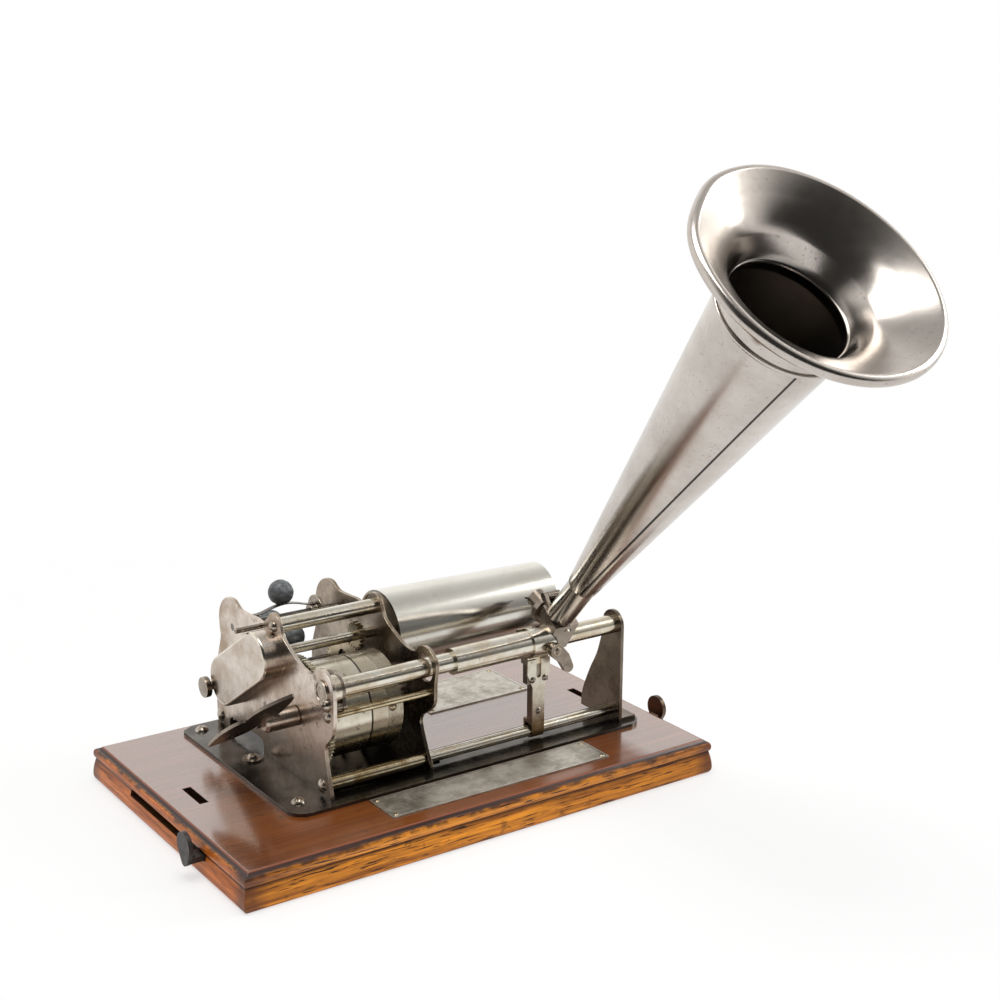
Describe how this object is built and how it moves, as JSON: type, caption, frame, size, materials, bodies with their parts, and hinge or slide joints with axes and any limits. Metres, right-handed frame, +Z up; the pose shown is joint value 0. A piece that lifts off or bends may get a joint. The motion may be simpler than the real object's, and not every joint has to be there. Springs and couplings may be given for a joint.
{
  "type": "cylinder phonograph",
  "caption": "Key-wound cylinder phonograph: open spring motor, mandrel, feed carriage and flared horn on a moulded wooden base.",
  "frame": {"origin": "centre of the underside of the base", "axes": "+X along the mandrel to its small end, +Y to the back, +Z up"},
  "size_m": [0.3114, 0.373, 0.3502],
  "materials": {
    "varnished_top": "glossy dark red-brown varnish, worn to amber at the lip",
    "oak_plinth": "amber varnished oak with dark open grain",
    "blackened_steel": "blackened, satin",
    "plate_metal": "etched nickel worn grey",
    "japanned_iron": "black japan, worn",
    "worn_nickel": "worn nickel plate, warm grey with brown patches",
    "bright_nickel": "polished nickel plate",
    "horn_nickel": "polished nickel with fine dark spots",
    "brass_works": "brass, oiled",
    "dark_steel": "oiled steel",
    "lead_grey": "dull cast lead",
    "brake_leather": "oiled leather",
    "mica": "mica sheet"
  },
  "bodies": {
    "frame": {"top_board": "varnished_top", "plinth_board": "oak_plinth", "name_plates": "plate_metal", "name_plate_pins": "brass_works", "bedplate": "japanned_iron", "bedplate_screws": "dark_steel", "left_motor_plate": "worn_nickel", "middle_motor_plate": "worn_nickel", "end_bracket": "worn_nickel", "top_pillar": "bright_nickel", "tie_rods": "bright_nickel", "spacer_rod": "bright_nickel", "guide_rod": "bright_nickel", "frame_screws": "worn_nickel", "tube_yoke": "worn_nickel", "bearing_cap": "dark_steel", "feed_tube": "bright_nickel", "idler_stud": "dark_steel", "counter_stud": "dark_steel", "gear_cover": "worn_nickel"},
    "left_lid_catch": {"left_catch": "blackened_steel"},
    "right_lid_catch": {"right_catch": "blackened_steel"},
    "key": {"winding_arbor": "dark_steel", "winding_key": "worn_nickel", "key_pin": "dark_steel", "ratchet_wheel": "dark_steel"},
    "ratchet_click": {"click": "dark_steel"},
    "barrel": {"barrel_drum": "worn_nickel", "barrel_cover": "worn_nickel", "barrel_screws": "brass_works", "barrel_gear": "brass_works", "mainspring": "dark_steel"},
    "intermediate": {"intermediate_shaft": "dark_steel", "intermediate_wheel": "brass_works"},
    "mandrel_arbor": {"mandrel_shaft": "dark_steel", "mandrel_pinion": "brass_works", "mandrel_gear": "brass_works", "mandrel": "bright_nickel"},
    "idler": {"idler_gear": "brass_works"},
    "counter": {"counter_sleeve": "brass_works", "counter_wheel": "brass_works"},
    "governor": {"governor_shaft": "dark_steel", "governor_collars": "brass_works", "governor_springs": "dark_steel", "governor_balls": "lead_grey"},
    "brake": {"brake_rod": "dark_steel", "brake_pad": "brake_leather"},
    "feed": {"feed_screw": "dark_steel"},
    "thumb_screw": {"cover_thumb_screw": "dark_steel"},
    "carriage": {"carriage_sleeve": "bright_nickel", "horn_bracket": "worn_nickel", "carriage_leg": "worn_nickel", "leg_clip": "bright_nickel"},
    "nut": {"half_nut": "brass_works"},
    "lever": {"thumb_lever": "worn_nickel"},
    "sound_box": {"reproducer": "worn_nickel", "diaphragm": "mica", "stylus": "dark_steel"},
    "horn": {"horn_cone": "horn_nickel", "horn_bell": "horn_nickel"}
  },
  "joints": [
    {"name": "mandrel_spin", "type": "hinge", "parent": "frame", "child": "mandrel_arbor", "pos_m": [0, 0.01621, 0.08343], "axis": [1, 0, 0], "continuous": true},
    {"name": "barrel_spin", "type": "hinge", "parent": "frame", "child": "barrel", "pos_m": [-0.045, -0.01117, 0.05741], "axis": [1, 0, 0], "continuous": true},
    {"name": "intermediate_spin", "type": "hinge", "parent": "frame", "child": "intermediate", "pos_m": [-0.04, 0.02507, 0.05102], "axis": [1, 0, 0], "continuous": true},
    {"name": "idler_spin", "type": "hinge", "parent": "frame", "child": "idler", "pos_m": [-0.079, 0.03591, 0.07044], "axis": [1, 0, 0], "continuous": true},
    {"name": "counter_spin", "type": "hinge", "parent": "frame", "child": "counter", "pos_m": [-0.07, 0.05427, 0.05833], "axis": [1, 0, 0], "continuous": true},
    {"name": "governor_spin", "type": "hinge", "parent": "frame", "child": "governor", "pos_m": [-0.043, 0.06223, 0.08517], "axis": [1, 0, 0], "continuous": true},
    {"name": "feed_spin", "type": "hinge", "parent": "frame", "child": "feed", "pos_m": [0, -0.041, 0.0803], "axis": [1, 0, 0], "continuous": true},
    {"name": "key_turn", "type": "hinge", "parent": "frame", "child": "key", "pos_m": [-0.09, -0.01117, 0.05741], "axis": [1, 0, 0], "continuous": true},
    {"name": "click_rock", "type": "hinge", "parent": "frame", "child": "ratchet_click", "pos_m": [-0.015, -0.00442, 0.0691], "axis": [1, 0, 0], "range_deg": [0, 12], "stiffness_Nm_per_rad": 0.002, "springref_deg": -5.73},
    {"name": "thumb_screw_turn", "type": "hinge", "parent": "frame", "child": "thumb_screw", "pos_m": [-0.086, 0.07226, 0.04911], "axis": [1, 0, 0], "continuous": true},
    {"name": "brake_slide", "type": "slide", "parent": "frame", "child": "brake", "axis": [1, 0, 0], "range_m": [0, 0.002]},
    {"name": "left_catch_slide", "type": "slide", "parent": "frame", "child": "left_lid_catch", "axis": [0, 1, 0], "range_m": [0, 0.048]},
    {"name": "right_catch_slide", "type": "slide", "parent": "frame", "child": "right_lid_catch", "axis": [0, 1, 0], "range_m": [0, 0.048]},
    {"name": "carriage_slide", "type": "slide", "parent": "frame", "child": "carriage", "axis": [1, 0, 0], "range_m": [-0.062, 0.022]},
    {"name": "lever_turn", "type": "hinge", "parent": "carriage", "child": "lever", "pos_m": [0.0665, -0.0502, 0.0775], "axis": [0, -1, 0], "range_deg": [-30, 0]},
    {"name": "nut_slide", "type": "slide", "parent": "carriage", "child": "nut", "axis": [0, 1, 0], "range_m": [0, 0.0024]},
    {"name": "reproducer_lift", "type": "hinge", "parent": "carriage", "child": "sound_box", "pos_m": [0.0765, -0.03382, 0.10294], "axis": [1, 0, 0], "range_deg": [0, 18]},
    {"name": "horn_swivel", "type": "hinge", "parent": "carriage", "child": "horn", "pos_m": [0.0765, -0.0436, 0.094], "axis": [0, -0.6561, 0.7547], "continuous": true}
  ],
  "couplings": [
    {"joint": "intermediate_spin", "follows": "mandrel_spin", "ratio": -0.27273},
    {"joint": "barrel_spin", "follows": "mandrel_spin", "ratio": 0.048951},
    {"joint": "feed_spin", "follows": "mandrel_spin", "ratio": -0.23864},
    {"joint": "idler_spin", "follows": "mandrel_spin", "ratio": -0.96667},
    {"joint": "counter_spin", "follows": "mandrel_spin", "ratio": 1.16},
    {"joint": "governor_spin", "follows": "mandrel_spin", "ratio": -5.6067},
    {"joint": "nut_slide", "follows": "lever_turn", "m_per_rad": -0.0045837}
  ]
}
